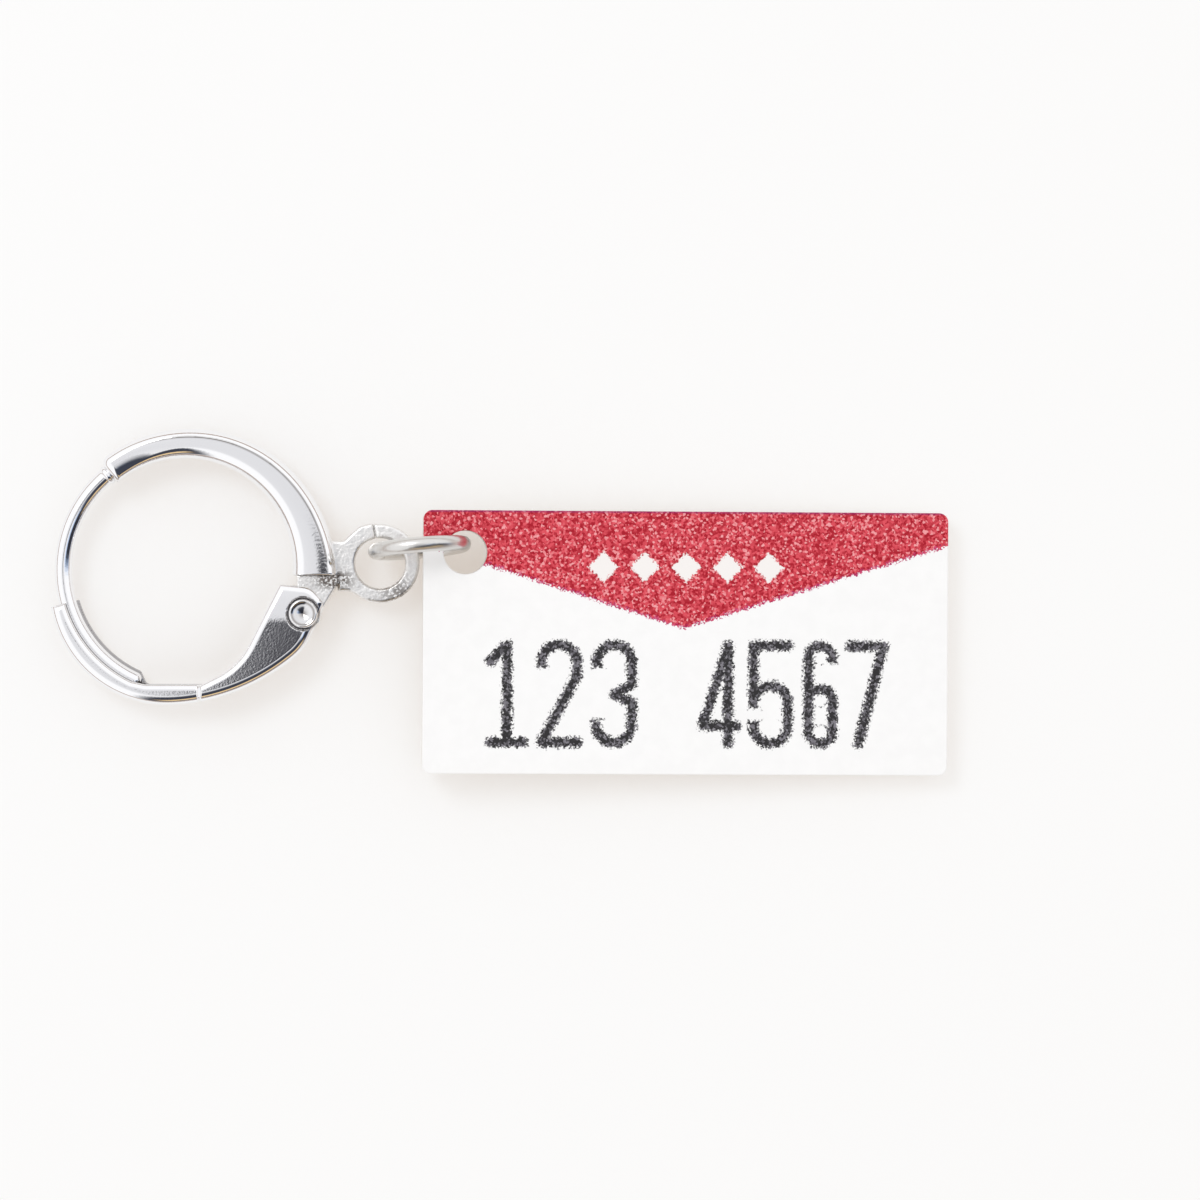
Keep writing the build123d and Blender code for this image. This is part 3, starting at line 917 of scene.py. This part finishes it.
def add_charm():
    """Flat plate with rounded edges and a hole, in its own frame."""
    curve = bpy.data.curves.new("charm_outline", "CURVE")
    curve.dimensions = "2D"
    curve.fill_mode = "BOTH"
    curve.extrude = (charm_thickness / 2 - charm_bevel) * 0.001
    curve.bevel_depth = charm_bevel * 0.001
    curve.bevel_resolution = 3
    curve.offset = -charm_bevel * 0.001
    half = np.array((charm_length / 2, charm_height / 2))
    corners = [half * signs for signs in ((1, 1), (-1, 1), (-1, -1), (1, -1))]
    outline = rounded(corners, [charm_corner] * 4)
    turns = np.radians(np.arange(0, 360, 5))[::-1]
    hole = np.stack((charm_hole_inset - half[0] + charm_hole_radius * np.cos(turns),
                     half[1] - charm_hole_inset + charm_hole_radius * np.sin(turns)), axis=1)
    for points in (outline, hole):
        spline = curve.splines.new("POLY")
        spline.points.add(len(points) - 1)
        spline.use_cyclic_u = True
        for point, spot in zip(spline.points, points):
            point.co = (spot[0] * 0.001, spot[1] * 0.001, 0, 1)
    shape = bpy.data.objects.new("charm_shape", curve)
    bpy.context.scene.collection.objects.link(shape)
    bpy.context.view_layer.update()
    mesh = bpy.data.meshes.new_from_object(shape)
    bpy.data.objects.remove(shape)
    mesh.materials.clear()
    mesh.materials.append(plastic)
    piece = bpy.data.objects.new("charm", mesh)
    bpy.context.scene.collection.objects.link(piece)
    low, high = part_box("charm_plate")
    turned = Matrix.Rotation(radians(charm_yaw), 4, "Z") @ Matrix.Rotation(radians(charm_pitch), 4, "Y")
    piece.matrix_world = Matrix.Translation((Vector(low) + Vector(high)) / 2) @ turned
    bpy.context.view_layer.update()
    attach(piece, "charm")
    stand_for(piece, "charm_plate")


add_charm()


# Floor, light and camera
def add_floor():
    """Pale floor whose shadows are warm, by a bluish colour under a warm glow that camera and metal see."""
    mesh = bpy.data.meshes.new("floor")
    corners = [(floor_half * x, floor_half * y, 0) for x, y in ((-1, -1), (1, -1), (1, 1), (-1, 1))]
    mesh.from_pydata(corners, [], [(0, 1, 2, 3)])
    material, nodes, links = new_material("floor")
    ink = Ink(nodes, links)
    shader = nodes["Principled BSDF"]
    rays = nodes.new("ShaderNodeLightPath").outputs
    seen = ink.math("MAXIMUM", rays["Is Camera Ray"], rays["Is Glossy Ray"])
    links.new(ink.mix(seen, (0.95, 0.93, 0.91, 1), (0.473, 0.556, 0.629, 1)), shader.inputs["Base Color"])
    links.new(seen, shader.inputs["Emission Strength"])
    shader.inputs["Emission Color"].default_value = (0.475, 0.388, 0.313, 1)
    shader.inputs["Roughness"].default_value = 0.9
    shader.inputs["Specular IOR Level"].default_value = 0.1
    mesh.materials.append(material)
    floor = bpy.data.objects.new("floor", mesh)
    bpy.context.scene.collection.objects.link(floor)
    floor.location = (0, 0, floor_height)


def add_key_light():
    """Soft lamp at the upper left, towards the marker."""
    light = bpy.data.lights.new("key", "AREA")
    light.shape = "DISK"
    light.size = key_size
    light.energy = key_power
    lamp = bpy.data.objects.new("key", light)
    bpy.context.scene.collection.objects.link(lamp)
    lamp.location = key_place
    lamp.rotation_euler = (-Vector(key_place)).to_track_quat("-Z", "Y").to_euler()
    lamp.visible_camera = False


def set_world():
    """White room; metal mirrors a dark camera overhead, a dark side at the lower right and brown low down."""
    world = bpy.data.worlds.new("studio")
    bpy.context.scene.world = world
    world.use_nodes = True
    nodes = world.node_tree.nodes
    links = world.node_tree.links
    ink = Ink(nodes, links)
    direction = nodes.new("ShaderNodeTexCoord").outputs["Generated"]
    height = ink.split(direction)[2]
    flat = ink.vector("MULTIPLY", direction, (1, 1, 0))
    level = ink.vector("NORMALIZE", flat)
    overhead = ink.vector("LENGTH", flat)
    room = ink.mix(ink.step(overhead, 0.1, 0.45), (0.8, 0.8, 0.82, 1), (1.06, 1.06, 1.07, 1))
    near = ink.vector("LENGTH", ink.vector("SUBTRACT", flat, (*camera_spot, 0)))
    lens = ink.math("MULTIPLY", ink.step(near, 0.062, 0.05), ink.step(height, 0, 0.1))
    room = ink.mix(lens, room, (0.04, 0.04, 0.05, 1))

    def side(turn, near_share, low, high):
        """Where a direction lies near a turn, and between two heights."""
        ray = polar(1, turn)
        along = ink.step(ink.vector("DOT_PRODUCT", level, (ray[0], ray[1], 0)), near_share, near_share + 0.12)
        above = ink.step(height, low - 0.03, low + 0.03)
        below = ink.step(height, high + 0.05, high - 0.05)
        return ink.math("MULTIPLY", along, ink.math("MULTIPLY", below, above))

    room = ink.mix(side(-40, 0.7, 0.2, 0.93), room, (0.5, 0.66, 0.95, 1))
    room = ink.mix(side(-42, 0.71, 0.25, 0.86), room, (0.035, 0.035, 0.045, 1))
    room = ink.mix(side(-72, 0.74, 0.2, 0.96), room, (0.05, 0.055, 0.075, 1))
    room = ink.mix(side(-66, 0.78, 0.36, 0.6), room, (0.85, 0.62, 0.35, 1))
    room = ink.mix(ink.step(height, 0.24, 0.1), room, (0.42, 0.32, 0.27, 1))
    rays = nodes.new("ShaderNodeLightPath").outputs
    light = ink.mix(rays["Is Glossy Ray"], (0.925, 0.915, 0.905, 1), room)
    light = ink.mix(rays["Is Camera Ray"], light, (0.973, 0.973, 0.973, 1))
    links.new(light, nodes["Background"].inputs["Color"])


def add_camera():
    """The photo's camera, straight above."""
    camera = bpy.data.cameras.new("camera")
    camera.sensor_width = sensor_width
    camera.lens = sensor_width * camera_place[2] / photo_width
    camera.clip_start = 0.01
    eye = bpy.data.objects.new("camera", camera)
    bpy.context.scene.collection.objects.link(eye)
    eye.location = camera_place
    bpy.context.scene.camera = eye


add_floor()
add_key_light()
set_world()
add_camera()
bpy.context.scene.view_settings.view_transform = "Standard"
